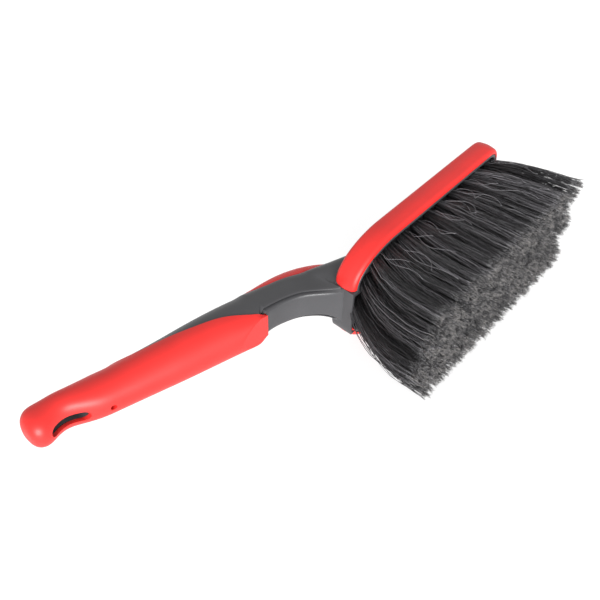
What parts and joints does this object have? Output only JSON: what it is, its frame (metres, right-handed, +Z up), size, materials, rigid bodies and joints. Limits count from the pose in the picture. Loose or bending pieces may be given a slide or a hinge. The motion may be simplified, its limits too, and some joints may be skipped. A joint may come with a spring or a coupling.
{
  "type": "wheel brush",
  "caption": "Short-handled brush with a cranked two-material handle, hanging slot, soft bumper round the head and splayed bristle tufts.",
  "frame": {"origin": "bottom centre of the whole brush, lying on its side on the bench", "axes": "+X from the handle to the toe of the head, +Y the back of the brush (bristles point to -Y), +Z up, across the brush"},
  "size_m": [0.3304, 0.132, 0.076],
  "materials": {
    "hard_black_plastic": "satin",
    "soft_red_rubber": "satin",
    "black_bristle": "matte"
  },
  "bodies": {
    "root": {"brush_core": "hard_black_plastic", "handle_grip": "soft_red_rubber", "head_bumper": "soft_red_rubber", "thumb_pad": "soft_red_rubber", "tuft_bottom_01": "black_bristle", "tuft_bottom_02": "black_bristle", "tuft_bottom_03": "black_bristle", "tuft_bottom_04": "black_bristle", "tuft_bottom_05": "black_bristle", "tuft_bottom_06": "black_bristle", "tuft_bottom_07": "black_bristle", "tuft_bottom_08": "black_bristle", "tuft_bottom_09": "black_bristle", "tuft_bottom_10": "black_bristle", "tuft_lower_01": "black_bristle", "tuft_lower_02": "black_bristle", "tuft_lower_03": "black_bristle", "tuft_lower_04": "black_bristle", "tuft_lower_05": "black_bristle", "tuft_lower_06": "black_bristle", "tuft_lower_07": "black_bristle", "tuft_lower_08": "black_bristle", "tuft_lower_09": "black_bristle", "tuft_lower_10": "black_bristle", "tuft_middle_01": "black_bristle", "tuft_middle_02": "black_bristle", "tuft_middle_03": "black_bristle", "tuft_middle_04": "black_bristle", "tuft_middle_05": "black_bristle", "tuft_middle_06": "black_bristle", "tuft_middle_07": "black_bristle", "tuft_middle_08": "black_bristle", "tuft_middle_09": "black_bristle", "tuft_middle_10": "black_bristle", "tuft_middle_11": "black_bristle", "tuft_top_01": "black_bristle", "tuft_top_02": "black_bristle", "tuft_top_03": "black_bristle", "tuft_top_04": "black_bristle", "tuft_top_05": "black_bristle", "tuft_top_06": "black_bristle", "tuft_top_07": "black_bristle", "tuft_top_08": "black_bristle", "tuft_top_09": "black_bristle", "tuft_top_10": "black_bristle", "tuft_upper_01": "black_bristle", "tuft_upper_02": "black_bristle", "tuft_upper_03": "black_bristle", "tuft_upper_04": "black_bristle", "tuft_upper_05": "black_bristle", "tuft_upper_06": "black_bristle", "tuft_upper_07": "black_bristle", "tuft_upper_08": "black_bristle", "tuft_upper_09": "black_bristle", "tuft_upper_10": "black_bristle"}
  },
  "joints": []
}
